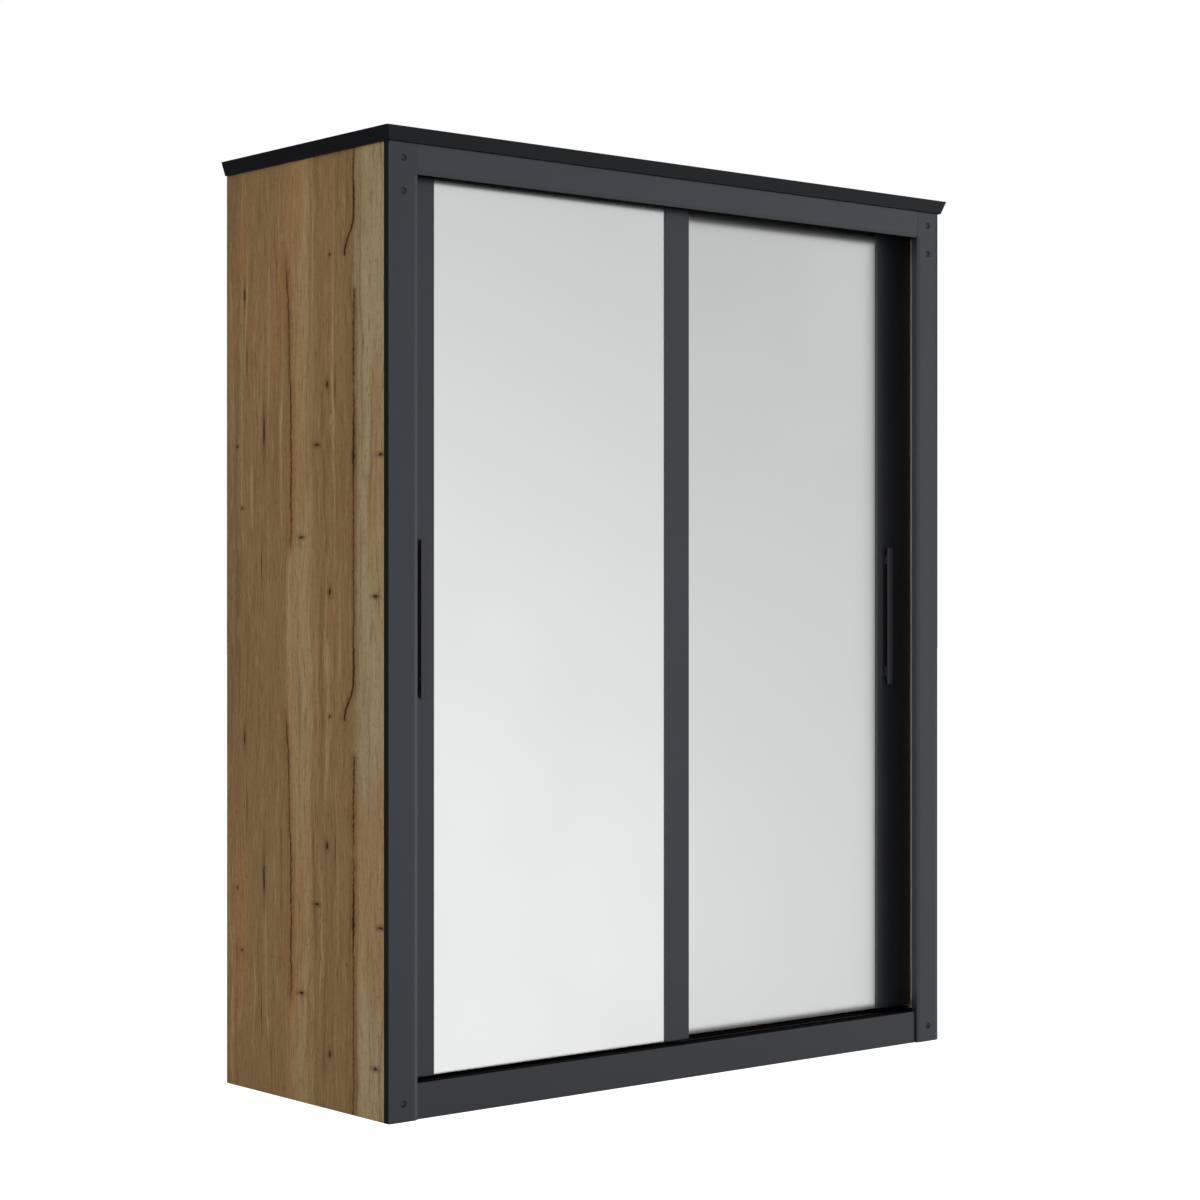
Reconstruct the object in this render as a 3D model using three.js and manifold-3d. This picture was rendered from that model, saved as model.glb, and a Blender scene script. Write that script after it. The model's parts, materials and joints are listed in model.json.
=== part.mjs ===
// Sliding door wardrobe: an oak carcass behind a graphite frame, with two mirror doors that run
// on separate tracks, one behind the other.
// Units are millimetres. X points right, Y to the back, Z up. The origin is on the floor, in the
// middle of the whole outline.

import * as THREE from 'three';
import { ConvexGeometry } from 'three/addons/geometries/ConvexGeometry.js';
import { mergeVertices } from 'three/addons/utils/BufferGeometryUtils.js';
import Module from 'manifold-3d';

const wasm = await Module();
wasm.setup();

// Whole piece
const height = 2100;
const bodyWidth = 1687;
const bodyDepth = 635;
const corniceHeight = 31;
const corniceTopOverhang = 15;
const corniceFootOverhang = 5;
const corniceReach = 60;

// Boards and the clearance kept between pieces that meet
const boardThickness = 18;
const backPanelThickness = 3;
const fit = 0.3;

// Front frame
const postWidth = 75;
const postThickness = 19;
const headerHeight = 65;
const plinthHeight = 77;
const plinthSetback = 7;
const easedEdgeWidth = 9;
const easedEdgeDepth = 2;
const battenWidth = 40;
const battenThickness = 14.7;

// Post screws
const postScrewHeights = [38.5, 1966.5, 2036.5];
const screwHeadRadius = 6.6;
const screwHeadHeight = 2.4;
const screwHeadRimHeight = 0.5;
const screwHeadShoulderRadius = 5.6;
const screwHeadShoulderHeight = 1.6;
const screwHeadFlatRadius = 3.3;
const screwShankRadius = 2.5;
const screwShankLength = 28;
const screwTipLength = 4.2;
const screwSocketRadius = 2.6;
const screwSocketDepth = 1.6;
const screwRecessRadius = 7.2;
const screwRecessDepth = 2.6;

// Doors
const doorThickness = 21;
const stileThickness = 9;
const glassThickness = 4;
const frontDoorSetback = 35;
const rearDoorSetback = 72;
const doorOuterX = 817;
const outerStileInnerX = 700;
const innerStileHalfWidth = 35;
const doorBottom = 83;
const doorTop = 2020;

// Handles: a flat bar on two slanted feet
const handleCentreX = 734.5;
const handleCentreZ = 1062;
const handleLength = 340;
const handleWidth = 17;
const handleBarThickness = 4.5;
const handleProjection = 12;
const handleEndOverhang = 15;
const handleFootLength = 22;
const handleFootSlant = 7;

// Rollers, their bottom track and the guides in the top track
const rollerInset = 70;
const treadRadius = 10.5;
const flangeRadius = 12.3;
const flangeChamfer = 0.6;
const wheelWidth = 6.4;
const treadWidth = 3;
const axleRadius = 2.5;
const housingLength = 44;
const housingHeight = 28;
const housingWidth = 11.4;
const housingSlotWidth = 7.4;
const housingSlotHeight = 21;
const housingFoot = 1;
const bottomPanelTop = 70;
const trackBaseThickness = 2;
const ribWidth = 2.2;
const ribTop = 77;
const ribRunningGap = 0.2;
const trackFrontSetback = 35.3;
const trackBackSetback = 102;
const guideInset = 60;
const guideLength = 40;
const guideWidth = 9;
const guideCornerCut = 5;
const guideTop = 2043;
const channelWidth = 10.6;
const channelWall = 2;
const channelBase = 3;
const channelFoot = 2026;
const stopGap = 0.7;

// Inside
const shelfSetback = 10;
const partitionSetback = 105;
const hatShelfBottom = 1700;
const rightShelfCount = 3;
const railCentreY = 60;
const railCentreZ = 1640;
const railHeight = 30;
const railWidth = 15;
const railWall = 1.5;
const railSocketRadius = 24;
const railSocketPlate = 4;
const railSocketDepth = 14;
const railSocketWall = 2.5;

// Worked out from the sizes above
const halfWidth = bodyWidth / 2;
const backY = (bodyDepth + corniceTopOverhang) / 2;
const faceY = backY - bodyDepth;
const carcassTop = height - corniceHeight;
const innerHalfWidth = halfWidth - boardThickness;
const postInnerX = halfWidth - postWidth;
const boardBackY = backY - backPanelThickness - fit;
const topPanelBottom = carcassTop - boardThickness;
const doorHeight = doorTop - doorBottom;
const doorWidth = doorOuterX + innerStileHalfWidth;
const coreThickness = doorThickness - stileThickness;
const partitionFrontY = faceY + partitionSetback;
const shelfFrontY = partitionFrontY + shelfSetback;

const graphite = new THREE.MeshStandardMaterial({ color: 0x3d3e42, roughness: 0.5, metalness: 0.0 });
const oak = new THREE.MeshStandardMaterial({ color: 0x9a8058, roughness: 0.65, metalness: 0.0 });
const mirrorGlass = new THREE.MeshStandardMaterial({ color: 0xdddfe0, roughness: 0.03, metalness: 1.0 });
const doorBacking = new THREE.MeshStandardMaterial({ color: 0x6f6a62, roughness: 0.7, metalness: 0.0 });
const backBoard = new THREE.MeshStandardMaterial({ color: 0xb49a78, roughness: 0.75, metalness: 0.0 });
const blackMetal = new THREE.MeshStandardMaterial({ color: 0x202124, roughness: 0.4, metalness: 0.6 });
const aluminium = new THREE.MeshStandardMaterial({ color: 0x17181a, roughness: 0.35, metalness: 1.0 });
const steel = new THREE.MeshStandardMaterial({ color: 0xc4c6c8, roughness: 0.2, metalness: 1.0 });
const nylon = new THREE.MeshStandardMaterial({ color: 0x242426, roughness: 0.5, metalness: 0.0 });
const blackPlastic = new THREE.MeshStandardMaterial({ color: 0x1d1d1f, roughness: 0.55, metalness: 0.0 });

// How many flat sides stand for a full circle
const smallCircleSides = 20;
const headCircleSides = 24;
const recessCircleSides = 28;
const wheelCircleSides = 32;
const hexagonSides = 6;
const curveSegments = 12;

const axisX = new THREE.Vector3(1, 0, 0);
const axisY = new THREE.Vector3(0, 1, 0);
const axisMinusY = new THREE.Vector3(0, -1, 0);
const axisZ = new THREE.Vector3(0, 0, 1);

function middle([low, high]) {
  return (low + high) / 2;
}

// A range of x on one side of the middle: side is -1 for left and 1 for right.
function onSide(side, nearX, farX) {
  return [side * nearX, side * farX].sort((a, b) => a - b);
}

function named(name, geometry, material, x = 0, y = 0, z = 0) {
  const mesh = new THREE.Mesh(geometry, material);
  mesh.name = name;
  mesh.position.set(x, y, z);
  return mesh;
}

function board(name, material, xs, ys, zs) {
  const geometry = new THREE.BoxGeometry(xs[1] - xs[0], ys[1] - ys[0], zs[1] - zs[0]);
  return named(name, geometry, material, middle(xs), middle(ys), middle(zs));
}

function shapeOf(points) {
  return new THREE.Shape(points.map(([a, b]) => new THREE.Vector2(a, b)));
}

function rectangle(as, bs) {
  return [[as[0], bs[0]], [as[1], bs[0]], [as[1], bs[1]], [as[0], bs[1]]];
}

function extruded(shape, length) {
  const geometry = new THREE.ExtrudeGeometry(shape, { depth: length, bevelEnabled: false, curveSegments });
  return geometry.translate(0, 0, -length / 2);
}

// The outline lies in Y and Z, and the piece runs along X, centred on x = 0.
function alongX(shape, length) {
  return extruded(shape, length).applyMatrix4(new THREE.Matrix4().makeBasis(axisY, axisZ, axisX));
}

// The outline lies in X and Z, and the piece runs along Y, centred on y = 0.
function alongY(shape, length) {
  const turn = new THREE.Matrix4().makeBasis(axisX, axisZ, axisMinusY);
  return extruded(shape, length).applyMatrix4(turn);
}

// A cylinder along Y, centred on the origin.
function rodAlongY(radius, length, sides) {
  return new THREE.CylinderGeometry(radius, radius, length, sides);
}

// A profile of radius and place along Y, turned about Y.
function turned(profile, sides) {
  return new THREE.LatheGeometry(profile.map(([radius, y]) => new THREE.Vector2(radius, y)), sides);
}

function solidFrom(geometry) {
  const bare = geometry.clone();
  bare.deleteAttribute('normal');
  bare.deleteAttribute('uv');
  const merged = mergeVertices(bare, 1e-4);
  const vertProperties = Float32Array.from(merged.attributes.position.array);
  const triVerts = Uint32Array.from(merged.index.array);
  return new wasm.Manifold(new wasm.Mesh({ numProp: 3, vertProperties, triVerts }));
}

function geometryFrom(solid) {
  const mesh = solid.getMesh();
  const geometry = new THREE.BufferGeometry();
  geometry.setAttribute('position', new THREE.BufferAttribute(mesh.vertProperties, 3));
  geometry.setIndex(new THREE.BufferAttribute(mesh.triVerts, 1));
  geometry.computeVertexNormals();
  return geometry;
}

function cutAway(geometry, cutters) {
  const solid = cutters.reduce((left, cutter) => left.subtract(solidFrom(cutter)), solidFrom(geometry));
  return geometryFrom(solid);
}

function joined(geometries) {
  const [first, ...others] = geometries.map(solidFrom);
  return geometryFrom(others.reduce((whole, other) => whole.add(other), first));
}

// The corner outside a sloping line from (0, depth) to (width, 0), which an eased edge takes off.
function easedCorner(width, depth, acrossSign) {
  const signedWidth = width * acrossSign;
  return shapeOf([[-signedWidth, -depth], [2 * signedWidth, -depth], [-signedWidth, 2 * depth]]);
}

// Side panels, front frame and cornice

function sidePanel(side, name) {
  const xs = onSide(side, innerHalfWidth, halfWidth);
  return board(name, oak, xs, [faceY + postThickness + fit, backY], [0, carcassTop]);
}

function screwHoles(x, recessed) {
  return postScrewHeights.flatMap((z) => {
    const shankHole = rodAlongY(screwShankRadius + fit, 2 * bodyDepth, smallCircleSides).translate(x, 0, z);
    if (!recessed) {
      return [shankHole];
    }
    const recess = rodAlongY(screwRecessRadius, 2 * screwRecessDepth, recessCircleSides);
    return [shankHole, recess.translate(x, faceY, z)];
  });
}

// Both long edges of a post are eased. The inner one stops under the header, so that header and
// post meet on one flat face.
function frontPost(side, name) {
  const xs = onSide(side, postInnerX, halfWidth);
  const blank = new THREE.BoxGeometry(postWidth, postThickness, carcassTop);
  blank.translate(middle(xs), faceY + postThickness / 2, carcassTop / 2);
  const innerCorner = easedCorner(easedEdgeWidth, easedEdgeDepth, side);
  const innerEdge = extruded(innerCorner, 2 * (carcassTop - headerHeight));
  innerEdge.translate(side * postInnerX, faceY, 0);
  const outerCorner = easedCorner(easedEdgeWidth, easedEdgeDepth, -side);
  const outerEdge = extruded(outerCorner, 4 * carcassTop).translate(side * halfWidth, faceY, 0);
  const cutters = [innerEdge, outerEdge, ...screwHoles(middle(xs), true)];
  return named(name, cutAway(blank, cutters), graphite);
}

function postBatten(side, name) {
  const xs = onSide(side, innerHalfWidth - fit - battenWidth, innerHalfWidth - fit);
  const frontY = faceY + postThickness + fit;
  const top = topPanelBottom - fit;
  const blank = new THREE.BoxGeometry(battenWidth, battenThickness, top);
  blank.translate(middle(xs), frontY + battenThickness / 2, top / 2);
  const postMiddleX = side * (halfWidth - postWidth / 2);
  return named(name, cutAway(blank, screwHoles(postMiddleX, false)), graphite);
}

function postScrew(side, z, name) {
  const profile = [
    [0, -screwHeadHeight],
    [screwHeadFlatRadius, -screwHeadHeight],
    [screwHeadShoulderRadius, -screwHeadShoulderHeight],
    [screwHeadRadius, -screwHeadRimHeight],
    [screwHeadRadius, 0],
    [screwShankRadius, 0],
    [screwShankRadius, screwShankLength - screwTipLength],
    [0, screwShankLength],
  ];
  const blank = turned(profile, headCircleSides);
  const socket = rodAlongY(screwSocketRadius, 2 * screwSocketDepth, hexagonSides);
  socket.translate(0, -screwHeadHeight, 0);
  const seatY = faceY + screwRecessDepth - fit;
  return named(name, cutAway(blank, [socket]), graphite, side * (halfWidth - postWidth / 2), seatY, z);
}

function headerRail() {
  const zs = [carcassTop - headerHeight, carcassTop];
  const length = 2 * (postInnerX - fit);
  const blank = alongX(shapeOf(rectangle([0, postThickness], [0, headerHeight])), length);
  const edgeOutline = [[-easedEdgeDepth, -easedEdgeWidth], [2 * easedEdgeDepth, -easedEdgeWidth],
    [-easedEdgeDepth, 2 * easedEdgeWidth]];
  const edge = alongX(shapeOf(edgeOutline), 2 * length);
  return named('header_rail', cutAway(blank, [edge]), graphite, 0, faceY, zs[0]);
}

function plinthRail() {
  const xs = [-(postInnerX - fit), postInnerX - fit];
  const ys = [faceY + plinthSetback, faceY + plinthSetback + boardThickness];
  return board('plinth_rail', graphite, xs, ys, [0, plinthHeight]);
}

// One leaning strip of the cornice. Its corners are given as plan points at the foot and the top.
function corniceStrip(name, footPlan, topPlan) {
  const footZ = carcassTop + fit;
  const corners = [
    ...footPlan.map(([x, y]) => new THREE.Vector3(x, y, footZ)),
    ...topPlan.map(([x, y]) => new THREE.Vector3(x, y, height)),
  ];
  return named(name, new ConvexGeometry(corners), graphite);
}

// The strips meet in mitres: where one stands out by an amount, its end stands out by as much.
function corniceFrontPlan(overhang) {
  const outX = halfWidth + overhang - fit;
  const inX = halfWidth - corniceReach - fit;
  return [[-outX, faceY - overhang], [outX, faceY - overhang],
    [inX, faceY + corniceReach], [-inX, faceY + corniceReach]];
}

function corniceSidePlan(side, overhang) {
  const outX = side * (halfWidth + overhang);
  const inX = side * (halfWidth - corniceReach);
  return [[outX, faceY - overhang + fit], [outX, backY], [inX, backY], [inX, faceY + corniceReach + fit]];
}

function cornice() {
  const plansOf = (planAt) => [planAt(corniceFootOverhang), planAt(corniceTopOverhang)];
  return [
    corniceStrip('cornice_front', ...plansOf(corniceFrontPlan)),
    corniceStrip('cornice_left', ...plansOf((overhang) => corniceSidePlan(-1, overhang))),
    corniceStrip('cornice_right', ...plansOf((overhang) => corniceSidePlan(1, overhang))),
  ];
}

// Carcass boards

function topPanel() {
  const halfSpan = innerHalfWidth - fit;
  const ys = [faceY + postThickness + fit, boardBackY];
  return board('top_panel', oak, [-halfSpan, halfSpan], ys, [topPanelBottom, carcassTop]);
}

// The bottom panel is notched at its front corners, where the battens stand on the floor.
function bottomPanel() {
  const halfSpan = innerHalfWidth - fit;
  const notchX = halfSpan - battenWidth - fit;
  const frontY = faceY + plinthSetback + boardThickness + fit;
  const notchY = faceY + postThickness + fit + battenThickness + fit;
  const outline = [[-notchX, frontY], [notchX, frontY], [notchX, notchY], [halfSpan, notchY],
    [halfSpan, boardBackY], [-halfSpan, boardBackY], [-halfSpan, notchY], [-notchX, notchY]];
  const centreZ = bottomPanelTop - boardThickness / 2;
  return named('bottom_panel', extruded(shapeOf(outline), boardThickness), oak, 0, 0, centreZ);
}

function midSupport() {
  const xs = [-boardThickness / 2, boardThickness / 2];
  const ys = [faceY + plinthSetback + boardThickness + fit, boardBackY];
  return board('mid_support', oak, xs, ys, [0, bottomPanelTop - boardThickness - fit]);
}

function centrePartition() {
  const xs = [-boardThickness / 2, boardThickness / 2];
  const zs = [bottomPanelTop + fit, topPanelBottom - fit];
  return board('centre_partition', oak, xs, [partitionFrontY, boardBackY], zs);
}

function backPanel(side, name) {
  const xs = onSide(side, fit, innerHalfWidth - fit);
  return board(name, backBoard, xs, [backY - backPanelThickness, backY], [0, carcassTop]);
}

function shelf(side, name, bottom) {
  const xs = onSide(side, boardThickness / 2 + fit, innerHalfWidth - fit);
  return board(name, oak, xs, [shelfFrontY, boardBackY], [bottom, bottom + boardThickness]);
}

function rightShelves() {
  const clearHeight = topPanelBottom - bottomPanelTop - rightShelfCount * boardThickness;
  const space = clearHeight / (rightShelfCount + 1);
  return ['shelf_lower', 'shelf_middle', 'shelf_upper'].map((name, index) => {
    const bottom = bottomPanelTop + space + index * (space + boardThickness);
    return shelf(1, name, bottom);
  });
}

// Clothes rail: an oval tube in a cup at each end

function ovalOutline(width, tall) {
  const straight = (tall - width) / 2;
  const outline = new THREE.Shape();
  outline.moveTo(width / 2, -straight);
  outline.lineTo(width / 2, straight);
  outline.absarc(0, straight, width / 2, 0, Math.PI, false);
  outline.lineTo(-width / 2, -straight);
  outline.absarc(0, -straight, width / 2, Math.PI, 2 * Math.PI, false);
  return outline;
}

function clothesRail() {
  const endClearance = railSocketPlate + fit;
  const xs = [-(innerHalfWidth - fit - endClearance), -(boardThickness / 2 + fit + endClearance)];
  const tube = ovalOutline(railWidth, railHeight);
  tube.holes.push(ovalOutline(railWidth - 2 * railWall, railHeight - 2 * railWall));
  return named('clothes_rail', alongX(tube, xs[1] - xs[0]), steel, middle(xs), railCentreY, railCentreZ);
}

// The cup opens towards the rail: facing is 1 where the rail lies to the right of it.
function railSocket(name, wallX, facing) {
  const round = new THREE.Shape().absarc(0, 0, railSocketRadius, 0, 2 * Math.PI, false);
  const plate = alongX(round, railSocketPlate).translate(facing * railSocketPlate / 2, 0, 0);
  const cupWall = fit + railSocketWall;
  const outer = ovalOutline(railWidth + 2 * cupWall, railHeight + 2 * cupWall);
  const cup = alongX(outer, railSocketDepth).translate(facing * railSocketDepth / 2, 0, 0);
  const bore = alongX(ovalOutline(railWidth + 2 * fit, railHeight + 2 * fit), railSocketDepth);
  bore.translate(facing * (railSocketPlate + railSocketDepth / 2), 0, 0);
  const geometry = cutAway(joined([plate, cup]), [bore]);
  return named(name, geometry, steel, wallX, railCentreY, railCentreZ);
}

// Tracks

// Both doors' rollers and guides run on the middle line of the door's backing board.
function runningLineY(doorSetback) {
  return faceY + doorSetback + stileThickness + coreThickness / 2;
}

const runningLines = [runningLineY(frontDoorSetback), runningLineY(rearDoorSetback)];

// A flat strip with a rib under each door, for the grooved wheels.
function bottomTrack() {
  const ys = [faceY + trackFrontSetback, faceY + trackBackSetback];
  const floorZ = bottomPanelTop + fit;
  const baseTop = floorZ + trackBaseThickness;
  const outline = [[ys[0], floorZ], [ys[1], floorZ], [ys[1], baseTop]];
  [...runningLines].reverse().forEach((lineY) => {
    outline.push([lineY + ribWidth / 2, baseTop], [lineY + ribWidth / 2, ribTop]);
    outline.push([lineY - ribWidth / 2, ribTop], [lineY - ribWidth / 2, baseTop]);
  });
  outline.push([ys[0], baseTop]);
  return named('bottom_track', alongX(shapeOf(outline), 2 * (innerHalfWidth - 2 * fit)), aluminium);
}

// A channel over each door, open downwards.
function topTrack() {
  const roof = topPanelBottom - fit;
  const ceiling = roof - channelBase;
  const reach = channelWidth / 2 + channelWall;
  const [frontLine, rearLine] = runningLines;
  const outline = [[frontLine - reach, roof], [frontLine - reach, channelFoot]];
  runningLines.forEach((lineY) => {
    if (lineY !== frontLine) {
      outline.push([lineY - reach, ceiling], [lineY - reach, channelFoot]);
    }
    outline.push([lineY - channelWidth / 2, channelFoot], [lineY - channelWidth / 2, ceiling]);
    outline.push([lineY + channelWidth / 2, ceiling], [lineY + channelWidth / 2, channelFoot]);
    outline.push([lineY + reach, channelFoot]);
    if (lineY !== rearLine) {
      outline.push([lineY + reach, ceiling]);
    }
  });
  outline.push([rearLine + reach, roof]);
  return named('top_track', alongX(shapeOf(outline), 2 * (innerHalfWidth - 2 * fit)), aluminium);
}

// A plate under the channels with a finger up into each, which the guides of both doors meet.
function trackStop(side, name) {
  const guideEndX = doorOuterX - guideInset + guideLength / 2;
  const xs = onSide(side, guideEndX + stopGap, innerHalfWidth - fit);
  const plateZs = [doorTop + fit, channelFoot - fit];
  const length = xs[1] - xs[0];
  const [frontLine, rearLine] = runningLines;
  const fingerHalf = guideWidth / 2;
  const blocks = [rectangle([frontLine - fingerHalf, rearLine + fingerHalf], plateZs)];
  runningLines.forEach((lineY) => {
    blocks.push(rectangle([lineY - fingerHalf, lineY + fingerHalf], [plateZs[0], guideTop]));
  });
  const geometry = joined(blocks.map((outline) => alongX(shapeOf(outline), length)));
  return named(name, geometry, blackPlastic, middle(xs));
}

// Doors. A door's own frame has x = 0 at its middle, y = 0 on its front face and z = 0 at its foot.
// side is -1 for the left door and 1 for the right one, whose parts are its mirror image.

const housingPocket = { halfLength: housingLength / 2 + fit, height: housingHeight + fit };

// The backing board, with a pocket at the foot of each end for a roller housing.
function doorCore(name, rollerXs) {
  const half = doorWidth / 2;
  const outline = [[-half, 0]];
  [...rollerXs].sort((a, b) => a - b).forEach((x) => {
    const [left, right] = [x - housingPocket.halfLength, x + housingPocket.halfLength];
    outline.push([left, 0], [left, housingPocket.height], [right, housingPocket.height], [right, 0]);
  });
  outline.push([half, 0], [half, doorHeight], [-half, doorHeight]);
  const centreY = stileThickness + coreThickness / 2 + fit / 2;
  return named(name, alongY(shapeOf(outline), coreThickness - fit), doorBacking, 0, centreY, 0);
}

// A flat bar standing off the stile on two feet that slant in towards the stile.
function doorHandle(name, x) {
  const half = handleLength / 2;
  const barBack = -handleProjection + handleBarThickness;
  const footOut = half - handleEndOverhang;
  const footIn = footOut - handleFootLength;
  const outline = [
    [-handleProjection, half], [-handleProjection, -half], [barBack, -half],
    [barBack, -footOut], [-fit, -footOut + handleFootSlant],
    [-fit, -footIn + handleFootSlant], [barBack, -footIn],
    [barBack, footIn], [-fit, footIn - handleFootSlant],
    [-fit, footOut - handleFootSlant], [barBack, footOut],
    [barBack, half],
  ];
  return named(name, alongX(shapeOf(outline), handleWidth), blackMetal, x, 0, handleCentreZ - doorBottom);
}

// A housing with two cheeks, open below for the wheel, and a hole through both for the axle.
function rollerHousing(name, x, lineY, axleZ) {
  const half = housingWidth / 2;
  const slotHalf = housingSlotWidth / 2;
  const outline = [[-half, housingFoot], [-slotHalf, housingFoot], [-slotHalf, housingSlotHeight],
    [slotHalf, housingSlotHeight], [slotHalf, housingFoot], [half, housingFoot],
    [half, housingHeight], [-half, housingHeight]];
  const blank = alongX(shapeOf(outline), housingLength);
  const hole = rodAlongY(axleRadius + fit, 2 * housingWidth, smallCircleSides).translate(0, 0, axleZ);
  return named(name, cutAway(blank, [hole]), blackPlastic, x, lineY, 0);
}

// The wheel turns about Y and is grooved to sit over the rib.
function rollerWheel(name, x, lineY, axleZ) {
  const bore = axleRadius + fit;
  const side = wheelWidth / 2;
  const groove = treadWidth / 2;
  const profile = [
    [bore, -side],
    [flangeRadius - flangeChamfer, -side],
    [flangeRadius, -side + flangeChamfer],
    [treadRadius, -groove],
    [treadRadius, groove],
    [flangeRadius, side - flangeChamfer],
    [flangeRadius - flangeChamfer, side],
    [bore, side],
    [bore, -side],
  ];
  return named(name, turned(profile, wheelCircleSides), nylon, x, lineY, axleZ);
}

function rollerAxle(name, x, lineY, axleZ) {
  return named(name, rodAlongY(axleRadius, housingWidth, smallCircleSides), steel, x, lineY, axleZ);
}

// A tongue on the door's top edge with its upper corners cut off, so that it enters the channel.
function topGuide(name, x, lineY) {
  const half = guideLength / 2;
  const foot = doorHeight + fit;
  const top = guideTop - doorBottom;
  const outline = [[-half, foot], [half, foot], [half, top - guideCornerCut],
    [half - guideCornerCut, top], [-half + guideCornerCut, top], [-half, top - guideCornerCut]];
  return named(name, alongY(shapeOf(outline), guideWidth), blackPlastic, x, lineY, 0);
}

function slidingDoor(side, prefix, setback) {
  const door = new THREE.Group();
  const centreX = side * (doorOuterX - doorWidth / 2);
  door.position.set(centreX, faceY + setback, doorBottom);
  const local = (worldX) => worldX - centreX;
  const half = doorWidth / 2;
  const zs = [0, doorHeight];
  const stileYs = [0, stileThickness];
  const glassYs = [stileThickness - glassThickness, stileThickness];
  const outerXs = onSide(side, outerStileInnerX, doorOuterX).map(local);
  const innerXs = [-innerStileHalfWidth, innerStileHalfWidth].map(local);
  const glassXs = onSide(side, innerStileHalfWidth + fit, outerStileInnerX - fit).map(local);
  const lineY = stileThickness + coreThickness / 2;
  const axleZ = ribTop + ribRunningGap + treadRadius - doorBottom;
  const ends = { outer: side, inner: -side };
  const rollerXs = Object.values(ends).map((end) => end * (half - rollerInset));

  door.add(doorCore(`${prefix}_core`, rollerXs));
  door.add(board(`${prefix}_outer_stile`, graphite, outerXs, stileYs, zs));
  door.add(board(`${prefix}_inner_stile`, graphite, innerXs, stileYs, zs));
  door.add(board(`${prefix}_mirror`, mirrorGlass, glassXs, glassYs, zs));
  door.add(doorHandle(`${prefix}_handle`, local(side * handleCentreX)));
  Object.entries(ends).forEach(([place, end]) => {
    const rollerX = end * (half - rollerInset);
    door.add(rollerHousing(`${prefix}_${place}_roller_housing`, rollerX, lineY, axleZ));
    door.add(rollerAxle(`${prefix}_${place}_roller_axle`, rollerX, lineY, axleZ));
    door.add(rollerWheel(`${prefix}_${place}_roller_wheel`, rollerX, lineY, axleZ));
    door.add(topGuide(`${prefix}_${place}_top_guide`, end * (half - guideInset), lineY));
  });
  return door;
}

function carcass() {
  const group = new THREE.Group();
  [[-1, 'left'], [1, 'right']].forEach(([side, word]) => {
    group.add(sidePanel(side, `${word}_side_panel`));
    group.add(frontPost(side, `${word}_front_post`));
    group.add(postBatten(side, `${word}_post_batten`));
    group.add(backPanel(side, `${word}_back_panel`));
    group.add(trackStop(side, `${word}_track_stop`));
    ['lower', 'middle', 'upper'].forEach((place, index) => {
      group.add(postScrew(side, postScrewHeights[index], `${word}_post_screw_${place}`));
    });
  });
  group.add(headerRail(), plinthRail(), ...cornice());
  group.add(topPanel(), bottomPanel(), midSupport(), centrePartition());
  group.add(shelf(-1, 'hat_shelf', hatShelfBottom), ...rightShelves());
  group.add(clothesRail());
  group.add(railSocket('rail_socket_left', -(innerHalfWidth - fit), 1));
  group.add(railSocket('rail_socket_right', -(boardThickness / 2 + fit), -1));
  group.add(bottomTrack(), topTrack());
  return group;
}

const wardrobe = new THREE.Group();
wardrobe.add(carcass());
wardrobe.add(slidingDoor(-1, 'left_door', frontDoorSetback));
wardrobe.add(slidingDoor(1, 'right_door', rearDoorSetback));

export default wardrobe;
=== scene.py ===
"""Looks for the sliding door wardrobe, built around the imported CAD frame. All lengths are metres."""

import json
import math

import bmesh
import bpy
from mathutils import Matrix, Vector


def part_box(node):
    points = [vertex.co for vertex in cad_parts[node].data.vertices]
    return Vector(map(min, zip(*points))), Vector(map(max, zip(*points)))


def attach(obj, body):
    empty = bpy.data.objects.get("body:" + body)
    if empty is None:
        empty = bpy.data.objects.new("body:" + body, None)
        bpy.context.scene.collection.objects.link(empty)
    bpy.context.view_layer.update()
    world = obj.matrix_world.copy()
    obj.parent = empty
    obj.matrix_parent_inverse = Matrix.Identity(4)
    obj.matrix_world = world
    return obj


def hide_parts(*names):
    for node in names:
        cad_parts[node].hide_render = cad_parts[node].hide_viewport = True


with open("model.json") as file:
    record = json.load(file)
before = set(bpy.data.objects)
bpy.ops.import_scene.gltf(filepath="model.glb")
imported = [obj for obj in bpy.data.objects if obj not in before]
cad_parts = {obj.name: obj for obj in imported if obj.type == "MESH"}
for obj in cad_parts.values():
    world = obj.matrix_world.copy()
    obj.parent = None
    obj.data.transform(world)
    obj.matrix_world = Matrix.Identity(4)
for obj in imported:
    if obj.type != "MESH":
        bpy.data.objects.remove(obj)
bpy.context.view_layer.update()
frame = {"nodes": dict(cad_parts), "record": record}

# Camera: where the eye stands, how it is turned, and its lens on a 36 mm sensor.
EYE = Vector((-4.116, -4.887, 1.105))
VIEW_TURN = math.radians(-40.08)
LENS_MM = 80.1
SENSOR_MM = 36.0
FRAME_SHIFT_UP = -0.001

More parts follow.
